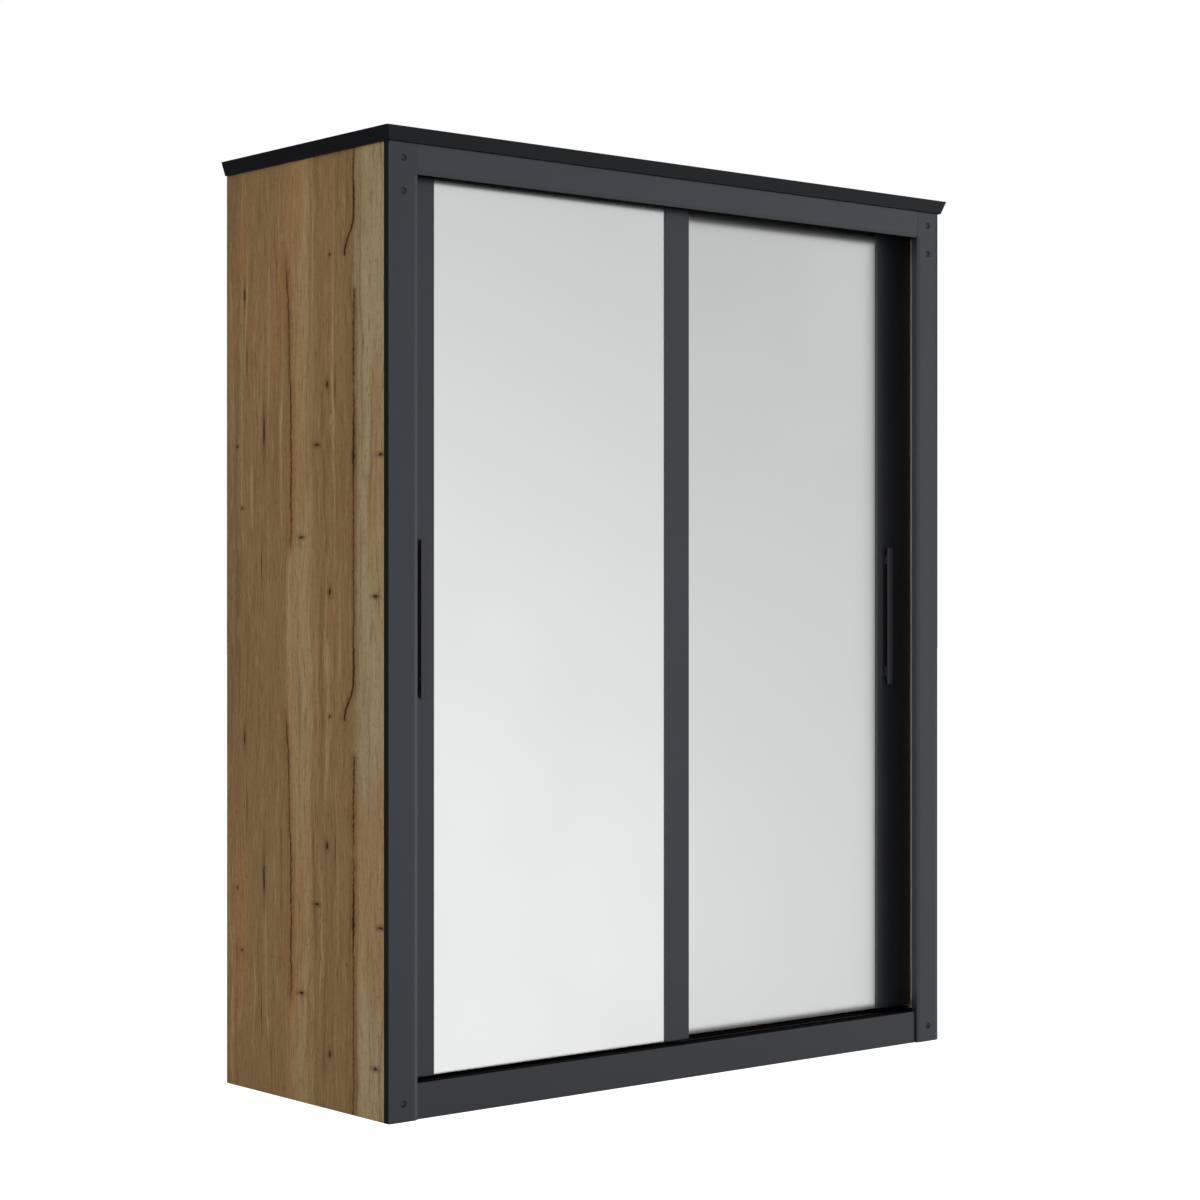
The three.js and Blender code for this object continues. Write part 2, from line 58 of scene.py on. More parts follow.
# Studio light. LIGHT_AROUND is brightness by direction seen from above: 0 degrees is straight in front
# of the wardrobe and 90 degrees is to its right. LIGHT_UP is a factor by height, from -1 down to 1 up.
# LIGHT_LEAN turns the directions by so many degrees from level to straight up. All of these were tuned until
# renders had the photograph's shading.
LIGHT_AROUND = ((-180, 0.2), (-155, 0.0), (-108, 0.0), (-90, 0.3), (-84, 1.65), (-52, 1.65), (-43, 1.2),
                (-10, 1.15), (8, 1.0), (20, 0.98), (31, 1.0), (36, 0.96), (40, 0.86), (43, 0.76), (46, 0.68),
                (53, 0.66), (57, 1.9), (60, 2.9), (63, 2.4), (67, 0.7), (72, 0.3), (108, 0.0), (155, 0.0),
                (180, 0.2))
LIGHT_UP = ((-1, 0.0), (-0.31, 0.01), (-0.25, 0.5), (-0.215, 1.2), (-0.15, 1.08), (0.0, 1.0), (0.13, 0.84),
            (0.22, 0.74), (0.4, 0.45), (0.7, 0.3), (1, 0.3))
LIGHT_LEAN = 30.0
OVERHEAD_LIGHT = 0.5
LEAST_LIGHT = 0.015
OVERHEAD_START = 0.45
OVERHEAD_FULL = 0.75
FLOOR_GLOW = 0.93
FLOOR_SIZE = 80

# Bevel widths. FLUSH_NODES meet in one plane, so their edges stay almost sharp.
BOARD_EDGE = 0.0007
METAL_EDGE = 0.0004
GLASS_EDGE = 0.0006
HANDLE_EDGE = 0.0012
FLUSH_EDGE = 0.0002
FLUSH_NODES = ("left_front_post", "header_rail", "right_front_post")

SHELF_NODES = ("shelf_lower", "shelf_middle", "shelf_upper", "hat_shelf")
SIDES = ("left", "right")
ENDS = ("outer", "inner")


# ---------------------------------------------------------------------------------------------
# Material helpers
# ---------------------------------------------------------------------------------------------

class Recipe:
    """One material's node tree, built up by small calls that each return an output socket."""

    def __init__(self, name):
        self.material = bpy.data.materials.new(name)
        self.material.use_nodes = True
        self.tree = self.material.node_tree
        self.tree.nodes.clear()

    @classmethod
    def for_world(cls, world):
        recipe = cls.__new__(cls)
        recipe.tree = world.node_tree
        recipe.tree.nodes.clear()
        return recipe

    def node(self, kind, inputs, **settings):
        made = self.tree.nodes.new(kind)
        for key, value in settings.items():
            setattr(made, key, value)
        for key, value in inputs.items():
            self.feed(made.inputs[key], value)
        return made

    def feed(self, socket, value):
        if isinstance(value, bpy.types.NodeSocket):
            self.tree.links.new(value, socket)
        else:
            socket.default_value = value

    def math(self, operation, first, second=0.0):
        return self.node("ShaderNodeMath", {0: first, 1: second}, operation=operation).outputs[0]

    def place(self):
        """The three coordinates of the shaded point, in metres."""
        coordinates = self.node("ShaderNodeTexCoord", {})
        split = self.node("ShaderNodeSeparateXYZ", {0: coordinates.outputs["Object"]})
        return split.outputs

    def point(self, x, y, z):
        return self.node("ShaderNodeCombineXYZ", {0: x, 1: y, 2: z}).outputs[0]

    def scaled(self, place, scale):
        return self.point(*[self.math("MULTIPLY", axis, scale) for axis in place])

    def noise(self, point, detail=2.0, roughness=0.5):
        inputs = {"Vector": point, "Scale": 1.0, "Detail": detail, "Roughness": roughness}
        return self.node("ShaderNodeTexNoise", inputs).outputs[0]

    def cells(self, point):
        """(distance to the nearest cell's middle, that cell's random number)"""
        made = self.node("ShaderNodeTexVoronoi", {"Vector": point, "Scale": 1.0})
        split = self.node("ShaderNodeSeparateColor", {0: made.outputs["Color"]})
        return made.outputs["Distance"], split.outputs[0]

    def fade(self, value, start, end, low=0.0, high=1.0):
        """low where value is at start, high where it is at end, and smooth between."""
        inputs = {0: value, 1: start, 2: end, 3: low, 4: high}
        made = self.node("ShaderNodeMapRange", inputs, interpolation_type="SMOOTHSTEP")
        return made.outputs[0]

    def fade_straight(self, value, start, end):
        """0 where value is at start, 1 where it is at end, and in proportion between."""
        return self.node("ShaderNodeMapRange", {0: value, 1: start, 2: end}).outputs[0]

    def ramp(self, share, stops):
        made = self.node("ShaderNodeValToRGB", {0: share})
        elements = made.color_ramp.elements
        while len(elements) < len(stops):
            elements.new(0.5)
        for element, (position, colour) in zip(elements, stops):
            element.position = position
            element.color = colour
        return made.outputs[0]

    def grey_ramp(self, value, stops):
        """A level that changes in straight lines between (value, level) stops."""
        start, end = stops[0][0], stops[-1][0]
        shades = [((at - start) / (end - start), (level, level, level, 1)) for at, level in stops]
        return self.ramp(self.fade_straight(value, start, end), shades)

    def mix(self, share, first, second, blend_type="MIX"):
        made = self.node("ShaderNodeMix", {0: share, 6: first, 7: second}, data_type="RGBA",
                         blend_type=blend_type)
        return made.outputs[2]

    def bump(self, height, distance, strength=1.0):
        inputs = {"Height": height, "Distance": distance, "Strength": strength}
        return self.node("ShaderNodeBump", inputs).outputs[0]

    def surface(self, inputs):
        shader = self.node("ShaderNodeBsdfPrincipled", inputs)
        output = self.node("ShaderNodeOutputMaterial", {})
        self.tree.links.new(shader.outputs[0], output.inputs["Surface"])
        return self.material


def srgb(red, green, blue):
    """A colour given as 0 to 255 screen values, as the linear colour that shaders use."""
    def linear(value):
        share = value / 255
        if share <= 0.04045:
            return share / 12.92
        return ((share + 0.055) / 1.055) ** 2.4
    return (linear(red), linear(green), linear(blue), 1.0)


# ---------------------------------------------------------------------------------------------
# Materials
# ---------------------------------------------------------------------------------------------

# Axes of a board's length and width, as places in (x, y, z)
ALONG_X = 0
ACROSS_Y = 1
ALONG_Z = 2

# The oak pattern repeats along the grain. Places are metres: y across the grain, h along it.
OAK_REPEAT = 1.0
PALE_OAK = (140, 124, 96)
HONEY_OAK = (136, 115, 84)
BROWN_OAK = (119, 95, 63)
DARK_OAK = (110, 88, 56)
# Width and tone of each plank, from the front edge to the back edge. Neighbours blend over PLANK_BLEND
# on each side of their seam.
OAK_PLANKS = ((0.135, PALE_OAK), (0.17, BROWN_OAK), (0.09, HONEY_OAK), (0.20, BROWN_OAK), (0.055, DARK_OAK))
PLANK_BLEND = 0.018
OAK_BRIGHTNESS = (1.86, 1.84, 1.74, 1)
# Marks in the oak, to the nearest centimetre. Each kind has half its width and half its length, and
# then the places (y, h) where it occurs.
WIDE_KNOT = (0.009, 0.0035)
TALL_KNOT = (0.005, 0.009)
DOT = (0.0036, 0.0036)
SLIT = (0.0035, 0.016)
LONG_SLIT = (0.0036, 0.042)
HAIR_CHECK = (0.0013, 0.034)
OAK_MARKS = ((WIDE_KNOT, ((-0.04, 0.44), (0.02, 0.24), (-0.28, 0.41), (-0.26, 0.11))),
             (TALL_KNOT, ((-0.18, 0.41), (-0.08, 0.57), (-0.09, 0.12))),
             (DOT, ((0.28, 0.45), (0.26, 0.31), (-0.09, 0.85))),
             (SLIT, ((0.25, 0.79),)),
             (LONG_SLIT, ((0.17, 0.48),)),
             (HAIR_CHECK, ((0.18, 0.18), (-0.11, 0.56), (0.24, 0.64))))


def rustic_oak(name, along_axis):
    """Old oak planks with two long cracks, knots, slits and a fine broken streak."""
    recipe = Recipe(name)
    place = recipe.place()
    across = place[ACROSS_Y]
    along = place[along_axis]
    turns = recipe.math("FRACT", recipe.math("DIVIDE", along, OAK_REPEAT))
    height = recipe.math("MULTIPLY", turns, OAK_REPEAT)

    def grain(across_scale, along_scale, seed, detail=2.0, roughness=0.5, through=None):
        point = recipe.point(recipe.math("MULTIPLY", across if through is None else through, across_scale),
                             recipe.math("MULTIPLY", along, along_scale), seed)
        return recipe.noise(point, detail, roughness)

    sway = recipe.math("MULTIPLY", recipe.math("SUBTRACT", grain(7.0, 2.6, 2.0), 0.5), 0.045)
    ripple = recipe.math("MULTIPLY", recipe.math("SUBTRACT", grain(30.0, 11.0, 12.0, 3.0), 0.5), 0.014)
    bent = recipe.math("ADD", recipe.math("ADD", across, sway), ripple)

    # The two long cracks. Each has a centre line, and how far it is open along its way.
    def wobble(seed, size):
        noise = recipe.noise(recipe.point(seed, recipe.math("MULTIPLY", height, 9.0), 0.0), 2.0, 0.6)
        jag = recipe.noise(recipe.point(seed, recipe.math("MULTIPLY", height, 70.0), 4.0), 3.0, 0.7)
        slow = recipe.math("MULTIPLY", recipe.math("SUBTRACT", noise, 0.5), size)
        quick = recipe.math("MULTIPLY", recipe.math("SUBTRACT", jag, 0.5), 0.011)
        return recipe.math("ADD", slow, quick)

    breaks = recipe.noise(recipe.point(0.3, recipe.math("MULTIPLY", height, 26.0), 1.7), 3.0, 0.6)
    back_line = recipe.math("ADD", recipe.fade(height, 0.52, 0.90, 0.0625, 0.080), wobble(4.2, 0.020))
    back_open = recipe.math("MULTIPLY", recipe.fade(height, 0.19, 0.24), recipe.fade(height, 0.90, 0.80))
    back_half = recipe.math("MULTIPLY", back_open, recipe.fade(breaks, 0.30, 0.62, 0.0007, 0.0018))

    low_part = recipe.fade(height, 0.60, 0.52)
    tail_part = recipe.fade(height, 0.838, 0.85)
    above_rough_part = recipe.fade(height, 0.81, 0.83)
    hook = recipe.math("MULTIPLY", recipe.fade(height, 0.93, 0.842, 0.0, 0.034), above_rough_part)
    front_line = recipe.math("ADD", recipe.math("ADD", hook, -0.180), wobble(8.6, 0.009))
    thick = recipe.math("MULTIPLY", recipe.fade(height, 0.34, 0.40), recipe.fade(height, 0.52, 0.46))
    thick = recipe.math("ADD", thick, recipe.math("MULTIPLY", tail_part, 0.9))
    thin_half = recipe.math("MULTIPLY", recipe.math("MAXIMUM", low_part, tail_part), 0.0011)
    front_half = recipe.math("ADD", thin_half, recipe.math("MULTIPLY", thick, 0.0018))
    rough_part = recipe.math("MULTIPLY", recipe.fade(height, 0.54, 0.60), recipe.fade(height, 0.80, 0.74))
    nicks = recipe.noise(recipe.point(1.1, recipe.math("MULTIPLY", height, 90.0), 3.3), 4.0, 0.7)
    nick_half = recipe.math("MULTIPLY", rough_part, recipe.fade(nicks, 0.44, 0.72, 0.0012, 0.0045))
    front_half = recipe.math("MAXIMUM", front_half, nick_half)

    ragged = grain(160.0, 120.0, 5.0, 2.0)
    fringe = recipe.math("MULTIPLY", recipe.math("SUBTRACT", ragged, 0.5), 0.0050)
    opened = 0.0
    rim = 0.0
    for line, half, is_open in ((back_line, back_half, back_open),
                                (front_line, front_half, recipe.fade(front_half, 0.0002, 0.001))):
        gap = recipe.math("ABSOLUTE", recipe.math("SUBTRACT", across, line))
        inside = recipe.math("SUBTRACT", recipe.math("ADD", gap, fringe), half)
        edge = recipe.math("MULTIPLY", recipe.fade(inside, 0.0010, -0.0006), is_open)
        opened = recipe.math("MAXIMUM", opened, edge)
        near = recipe.math("ADD", recipe.fade(gap, 0.026, 0.004, 0.0, 0.55),
                           recipe.fade(gap, 0.008, 0.002, 0.0, 0.45))
        rim = recipe.math("MAXIMUM", rim, recipe.math("MULTIPLY", near, is_open))

    # Knots and slits: how far the point is from the nearest one, in that mark's own size
    nearest = 9.0
    here = recipe.point(across, height, 0.0)
    for (half_width, half_length), mark_places in OAK_MARKS:
        for mark_y, mark_h in mark_places:
            stretch = (1 / half_width, 1 / half_length, 0.0)
            shift = (-mark_y / half_width, -mark_h / half_length, 0.0)
            inputs = {0: here, 1: stretch, 2: shift}
            scaled = recipe.node("ShaderNodeVectorMath", inputs, operation="MULTIPLY_ADD").outputs["Vector"]
            length = recipe.node("ShaderNodeVectorMath", {0: scaled}, operation="LENGTH").outputs["Value"]
            nearest = recipe.math("MINIMUM", nearest, length)
    nearest = recipe.math("ADD", nearest, recipe.math("MULTIPLY", recipe.math("SUBTRACT", ragged, 0.5), 1.1))
    core = recipe.fade(nearest, 1.15, 0.55)
    halo = recipe.fade(nearest, 3.4, 0.9)
    fleck_distance, fleck_chance = recipe.cells(recipe.point(recipe.math("MULTIPLY", across, 26.0),
                                                             recipe.math("MULTIPLY", along, 14.0), 5.0))
    is_fleck = recipe.math("GREATER_THAN", fleck_chance, 0.86)
    fleck = recipe.math("MULTIPLY", recipe.fade(fleck_distance, 0.070, 0.035), is_fleck)

    # Plank tones, with edges that follow the bent grain
    all_planks = sum(width for width, tone in OAK_PLANKS)
    stops = []
    seam = 0.0
    for width, tone in OAK_PLANKS:
        for edge in (seam + PLANK_BLEND, seam + width - PLANK_BLEND):
            stops.append((edge / all_planks, srgb(*tone)))
        seam += width
    colour = recipe.ramp(recipe.fade_straight(bent, -all_planks / 2, all_planks / 2), stops)
    warm = grain(9.0, 1.3, 9.0, 2.0, 0.5, bent)
    colour = recipe.mix(recipe.fade(warm, 0.50, 0.68, 0.0, 0.60), colour, srgb(132, 97, 60))
    colour = recipe.mix(recipe.fade(warm, 0.46, 0.30, 0.0, 0.35), colour, srgb(112, 95, 62))
    bands = grain(55.0, 1.6, 4.0, 3.0, 0.6, bent)
    colour = recipe.mix(recipe.fade(bands, 0.49, 0.30, 0.0, 0.55), colour, srgb(94, 71, 42))
    colour = recipe.mix(recipe.fade(bands, 0.54, 0.72, 0.0, 0.50), colour, srgb(150, 131, 97))
    streaks = grain(190.0, 15.0, 6.0, 4.0, 0.65, bent)
    colour = recipe.mix(recipe.fade(streaks, 0.48, 0.28, 0.0, 0.70), colour, srgb(86, 63, 37))
    colour = recipe.mix(recipe.fade(streaks, 0.54, 0.74, 0.0, 0.50), colour, srgb(155, 135, 100))
    pores = grain(480.0, 70.0, 8.0, 2.0, 0.6, bent)
    colour = recipe.mix(recipe.fade(pores, 0.44, 0.28, 0.0, 0.65), colour, srgb(74, 53, 30))

    colour = recipe.mix(recipe.math("MULTIPLY", rim, 0.70), colour, srgb(97, 66, 33))
    colour = recipe.mix(recipe.math("MULTIPLY", halo, 0.55), colour, srgb(88, 66, 40))
    colour = recipe.mix(fleck, colour, srgb(62, 44, 26))
    colour = recipe.mix(recipe.math("MULTIPLY", core, 0.92), colour, srgb(40, 27, 15))
    soft_crack = recipe.math("SUBTRACT", 0.90, recipe.math("MULTIPLY", rough_part, 0.15))
    colour = recipe.mix(recipe.math("MULTIPLY", opened, soft_crack), colour, srgb(30, 18, 8))
    colour = recipe.mix(1.0, colour, OAK_BRIGHTNESS, "MULTIPLY")

    sunk = recipe.math("SUBTRACT", recipe.math("MULTIPLY", streaks, 0.18), opened)
    sunk = recipe.math("SUBTRACT", sunk, recipe.math("MULTIPLY", core, 0.6))
    return recipe.surface({
        "Base Color": colour,
        "Roughness": recipe.fade(streaks, 0.3, 0.7, 0.72, 0.58),
        "Specular IOR Level": 0.28,
        "Normal": recipe.bump(sunk, 0.0005),
    })


def graphite_board(name, painted_lightness=1.0, index=1.64):
    """Satin laminate, almost black, with a fine pearl grain in its gloss."""
    recipe = Recipe(name)
    place = recipe.place()
    fine = recipe.noise(recipe.scaled(place, 900.0), 2.0, 0.6)
    cloudy = recipe.noise(recipe.scaled(place, 3.0), 3.0, 0.55)
    colour = recipe.mix(recipe.fade(cloudy, 0.35, 0.65), srgb(28, 29, 32), srgb(31, 32, 35))
    colour = recipe.mix(recipe.fade(fine, 0.35, 0.65, 0.0, 0.35), colour, srgb(40, 41, 44))
    # A factor above 1 here paints light onto the board and one below 1 paints shade: lit and shaded copies
    # of the one laminate.
    colour = recipe.mix(1.0, colour, (painted_lightness, painted_lightness, painted_lightness, 1), "MULTIPLY")
    return recipe.surface({
        "Base Color": colour,
        "Roughness": recipe.fade(fine, 0.3, 0.7, 0.38, 0.31),
        "IOR": index,
        "Specular Tint": (0.86, 0.93, 1.0, 1),
        "Normal": recipe.bump(fine, 0.00004, 0.5),
    })


def silvered_mirror(name, reflectance_and_painted_shade):
    """A satin mirror, which reflects softly. Its tint is the silver's own, made darker on the rear door's
    pane as painted shade.
    """
    recipe = Recipe(name)
    place = recipe.place()
    haze = recipe.noise(recipe.scaled(place, 2.2), 2.0)
    first = (0.985 * reflectance_and_painted_shade, reflectance_and_painted_shade, 0.995 * reflectance_and_painted_shade, 1)
    second = (0.975 * reflectance_and_painted_shade, 0.985 * reflectance_and_painted_shade, 0.985 * reflectance_and_painted_shade, 1)
    return recipe.surface({
        "Base Color": recipe.mix(recipe.fade(haze, 0.3, 0.7), first, second),
        "Metallic": 1.0,
        "Roughness": recipe.fade(haze, 0.3, 0.7, 0.20, 0.23),
    })


def plain_board(name, first, second, roughness):
    """Fibre board or melamine: a flat colour broken by fine fibres and slow clouds."""
    recipe = Recipe(name)
    place = recipe.place()
    fibre = recipe.noise(recipe.point(recipe.math("MULTIPLY", place[0], 260.0),
                                      recipe.math("MULTIPLY", place[1], 260.0),
                                      recipe.math("MULTIPLY", place[2], 60.0)), 3.0, 0.65)
    cloudy = recipe.noise(recipe.scaled(place, 4.0), 3.0)
    share = recipe.math("ADD", recipe.math("MULTIPLY", fibre, 0.6), recipe.math("MULTIPLY", cloudy, 0.4))
    return recipe.surface({
        "Base Color": recipe.mix(recipe.fade(share, 0.35, 0.65), first, second),
        "Roughness": recipe.fade(fibre, 0.3, 0.7, roughness - 0.05, roughness + 0.05),
        "Normal": recipe.bump(fibre, 0.0001, 0.4),
    })


def drawn_metal(name, colour, roughness, run_axis):
    """Metal with the fine lines that drawing or brushing leaves along run_axis."""
    darker = tuple(c * 0.86 for c in colour[:3]) + (1,)
    recipe = Recipe(name)
    place = recipe.place()
    scales = [2400.0, 2400.0, 2400.0]
    scales[run_axis] = 6.0
    lines = recipe.noise(recipe.point(*[recipe.math("MULTIPLY", axis, scale)
                                        for axis, scale in zip(place, scales)]), 2.0, 0.6)
    return recipe.surface({
        "Base Color": recipe.mix(recipe.fade(lines, 0.3, 0.7), colour, darker),
        "Metallic": 1.0,
        "Roughness": recipe.fade(lines, 0.3, 0.7, roughness - 0.06, roughness + 0.08),
        "Normal": recipe.bump(lines, 0.00002, 0.5),
    })


def powder_coat(name):
    recipe = Recipe(name)
    place = recipe.place()
    orange_peel = recipe.noise(recipe.scaled(place, 1100.0), 2.0)
    return recipe.surface({
        "Base Color": recipe.mix(recipe.fade(orange_peel, 0.3, 0.7), srgb(30, 31, 34), srgb(38, 39, 42)),
        "Roughness": recipe.fade(orange_peel, 0.3, 0.7, 0.52, 0.44),
        "IOR": 1.66,
        "Normal": recipe.bump(orange_peel, 0.00005, 0.6),
    })


def moulded_plastic(name, colour, roughness):
    recipe = Recipe(name)
    place = recipe.place()
    spark = recipe.noise(recipe.scaled(place, 1600.0), 2.0)
    darker = tuple(c * 0.8 for c in colour[:3]) + (1,)
    return recipe.surface({
        "Base Color": recipe.mix(recipe.fade(spark, 0.3, 0.7), darker, colour),
        "Roughness": recipe.fade(spark, 0.3, 0.7, roughness + 0.06, roughness - 0.06),
        "Normal": recipe.bump(spark, 0.00004, 0.5),
    })


def pile(name, deep, bright):
    """Short matt fibres."""
    recipe = Recipe(name)
    fibres = recipe.noise(recipe.scaled(recipe.place(), 1300.0), 2.0, 0.7)
    return recipe.surface({
        "Base Color": recipe.mix(recipe.fade(fibres, 0.3, 0.7), deep, bright),
        "Roughness": 0.95,
        "Specular IOR Level": 0.05,
        "Normal": recipe.bump(fibres, 0.0003, 0.8),
    })


MATERIALS = {
    "oak_upright": rustic_oak("oak_upright", ALONG_Z),
    "oak_flat": rustic_oak("oak_flat", ALONG_X),
    "graphite": graphite_board("graphite"),
    # Painted light on the header, painted shade on the plinth and the cornice: lighter and darker copies of
    # the graphite laminate.
    "graphite_header_painted_light": graphite_board("graphite_header_painted_light", 1.35, 1.67),
    "graphite_plinth_painted_shade": graphite_board("graphite_plinth_painted_shade", 0.85, 1.62),
    "graphite_cornice_painted_shade": graphite_board("graphite_cornice_painted_shade", 0.9, 1.42),
    "mirror": silvered_mirror("mirror", 0.88),
    # Painted shade: the rear door's pane is a darker copy of the same silvered glass, for the shade it
    # stands in, set back behind the front door.
    "rear_mirror_painted_shade": silvered_mirror("rear_mirror_painted_shade", 0.79),
    "door_backing": plain_board("door_backing", srgb(58, 58, 60), srgb(70, 70, 72), 0.6),
    "back_board": plain_board("back_board", srgb(196, 188, 174), srgb(206, 199, 186), 0.7),
    "aluminium": drawn_metal("aluminium", (0.014, 0.014, 0.015, 1), 0.34, ALONG_X),
    "steel": drawn_metal("steel", (0.8, 0.8, 0.81, 1), 0.2, ALONG_X),
    "handle_metal": powder_coat("handle_metal"),
    "screw_graphite": powder_coat("screw_graphite"),
    "nylon": moulded_plastic("nylon", srgb(36, 36, 38), 0.42),
    "black_plastic": moulded_plastic("black_plastic", srgb(34, 34, 36), 0.5),
    # Black pile for the strips that paint the shade in the gaps at the plinth and the header.
    "black_pile_painted_shade": pile("black_pile_painted_shade", (0.002, 0.002, 0.002, 1), (0.008, 0.008, 0.009, 1)),
    # Pale pile for the strips that paint light onto the side panels' inner faces.
    "pale_pile_painted_light": pile("pale_pile_painted_light", srgb(196, 184, 158), srgb(226, 217, 196)),
}

# Lit and shaded copies of a slot's finish, as painted light and painted shade: the header board is painted
# lighter, and the plinth, cornice and rear mirror darker, chosen so that they look as they do in the
# photograph
PAINTED_LIGHT_AND_SHADE_MATERIALS = {
    "header_rail": "graphite_header_painted_light",
    "plinth_rail": "graphite_plinth_painted_shade",
    "cornice_front": "graphite_cornice_painted_shade",
    "cornice_left": "graphite_cornice_painted_shade",
    "cornice_right": "graphite_cornice_painted_shade",
    "right_door_mirror": "rear_mirror_painted_shade",
}
FLAT_OAK_NODES = set(SHELF_NODES) | {"top_panel", "bottom_panel"}


def material_for(slot, node):
    if slot == "oak":
        return MATERIALS["oak_flat" if node in FLAT_OAK_NODES else "oak_upright"]
    return MATERIALS[PAINTED_LIGHT_AND_SHADE_MATERIALS.get(node, slot)]


# ---------------------------------------------------------------------------------------------
# CAD nodes: their own shape, with softened edges and a finished surface
# ---------------------------------------------------------------------------------------------

WELD_DISTANCE = 0.00001
BEVEL_SEGMENTS = 2
BEVEL_ANGLE = math.radians(30)


def soften(piece, width):
    weld = piece.modifiers.new("weld", "WELD")
    weld.merge_threshold = WELD_DISTANCE
    bevel = piece.modifiers.new("edges", "BEVEL")
    bevel.width = width
    bevel.segments = BEVEL_SEGMENTS
    bevel.limit_method = "ANGLE"
    bevel.angle_limit = BEVEL_ANGLE


def finish_cad_nodes():
    edges = {"mirror": GLASS_EDGE, "aluminium": METAL_EDGE / 2, "black_plastic": METAL_EDGE,
             "steel": METAL_EDGE / 2, "handle_metal": HANDLE_EDGE}
    for entry in frame["record"]["subparts"]:
        node, slot = entry["node"], entry["material_slot"]
        piece = frame["nodes"][node]
        piece.data.materials.clear()
        piece.data.materials.append(material_for(slot, node))
        if slot not in ("back_board", "screw_graphite", "nylon"):
            soften(piece, FLUSH_EDGE if node in FLUSH_NODES else edges.get(slot, BOARD_EDGE))


finish_cad_nodes()


# ---------------------------------------------------------------------------------------------
# Small hardware, turned from rings
# ---------------------------------------------------------------------------------------------

SCREW_SIDES = 48
SMALL_SCREW_SIDES = 24
NAIL_SIDES = 16
PIN_SIDES = 24
WHEEL_SIDES = 64
AXLE_SIDES = 32
RAIL_SIDES = 72
HEX_SIDES = 6
SMOOTH_ANGLE = math.radians(35)
# Straight part of the clothes rail's oval, between its round top and bottom
OVAL_STRAIGHT = 0.015
RAIL_WALL = 0.0012
SCREW_HEAD_HEIGHT = 0.0024
BORE_CLEARANCE = 0.0003

# Ring outlines, as (radius, distance along the piece, shape)
PAN_HEAD = ((0.0035, 0.0, "round"), (0.0035, 0.0005, "round"), (0.0030, 0.0012, "round"),
            (0.0021, 0.0017, "round"), (0.0016, 0.0018, "round"), (0.0014, 0.0018, "hexagon"),
            (0.0012, 0.0008, "hexagon"))
NAIL_HEAD = ((0.0032, -0.0004, "round"), (0.0032, 0.0001, "round"), (0.0022, 0.00035, "round"),
             (0.0006, 0.0004, "round"))
SHELF_PIN = ((0.0024, 0.0, "round"), (0.0046, 0.0001, "round"), (0.0046, 0.0012, "round"),
             (0.0042, 0.0016, "round"), (0.0026, 0.0017, "round"), (0.0025, 0.0090, "round"),
             (0.0020, 0.0096, "round"))
# Length of one tuft of pile along its strip
TUFT = 0.004


def hexagon_radius(radius, angle):
    """How far the side of a hexagon is from its middle, in one direction."""
    sector = 2 * math.pi / HEX_SIDES
    within = angle % sector - sector / 2
    return radius * math.cos(sector / 2) / math.cos(within)


def add_turned(mesh, rings, place, direction, sides=SCREW_SIDES, hollow=False):
    """Rings of (radius, distance along direction, shape), joined by walls.

    The ends are closed, or, when hollow, the last ring is joined to the first one.
    """
    turn = Vector(direction).to_track_quat("Z", "Y").to_matrix().to_4x4()
    frame_at = Matrix.Translation(place) @ turn
    loops = []
    for radius, distance, shape in rings:
        loop = []
        for step in range(sides):
            angle = 2 * math.pi * step / sides
            reach = hexagon_radius(radius, angle) if shape == "hexagon" else radius
            corner = Vector((reach * math.cos(angle), reach * math.sin(angle), distance))
            if shape == "oval":
                corner.y += math.copysign(OVAL_STRAIGHT / 2, corner.y)
            loop.append(mesh.verts.new(frame_at @ corner))
        loops.append(loop)
    pairs = list(zip(loops, loops[1:]))
    if hollow:
        pairs.append((loops[-1], loops[0]))
    for lower, upper in pairs:
        for step in range(sides):
            after = (step + 1) % sides
            mesh.faces.new((lower[step], lower[after], upper[after], upper[step]))
    if not hollow:
        mesh.faces.new(list(reversed(loops[0])))
        mesh.faces.new(loops[-1])


def finish_piece(name, mesh, material, body, replaced=(), smooth=True):
    data = bpy.data.meshes.new(name)
    bmesh.ops.recalc_face_normals(mesh, faces=mesh.faces)
    mesh.to_mesh(data)
    mesh.free()
    piece = bpy.data.objects.new(name, data)
    bpy.context.scene.collection.objects.link(piece)
    data.materials.append(material)
    if smooth:
        data.shade_smooth()
        data.set_sharp_from_angle(angle=SMOOTH_ANGLE)
    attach(piece, body)
    if replaced:
        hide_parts(*replaced)


def middle_of(node):
    low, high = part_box(node)
    return (low + high) / 2, low, high


def make_post_screws():
    """Domed heads with a hexagon socket, on the seats that the posts have for them."""
    for side in SIDES:
        for height in ("lower", "middle", "upper"):
            node = f"{side}_post_screw_{height}"
            centre, low, high = middle_of(node)
            head = (high.x - low.x) / 2
            seat = low.y + SCREW_HEAD_HEIGHT
            rings = ((0.0006, 0.0256, "round"), (0.0025, 0.0214, "round"), (0.0025, 0.0002, "round"),
                     (head, 0.0, "round"), (head, -0.0004, "round"), (0.96 * head, -0.0008, "round"),
                     (0.87 * head, -0.0014, "round"), (0.74 * head, -0.0019, "round"),
                     (0.58 * head, -0.0023, "round"), (0.48 * head, -0.0024, "round"),
                     (0.44 * head, -0.0024, "hexagon"), (0.40 * head, -0.0009, "hexagon"),
                     (0.05 * head, -0.0007, "hexagon"))
            mesh = bmesh.new()
            add_turned(mesh, rings, (centre.x, seat, centre.z), (0, 1, 0))
            finish_piece(f"{node}_domed", mesh, MATERIALS["screw_graphite"],
                         "carcass", (node,))


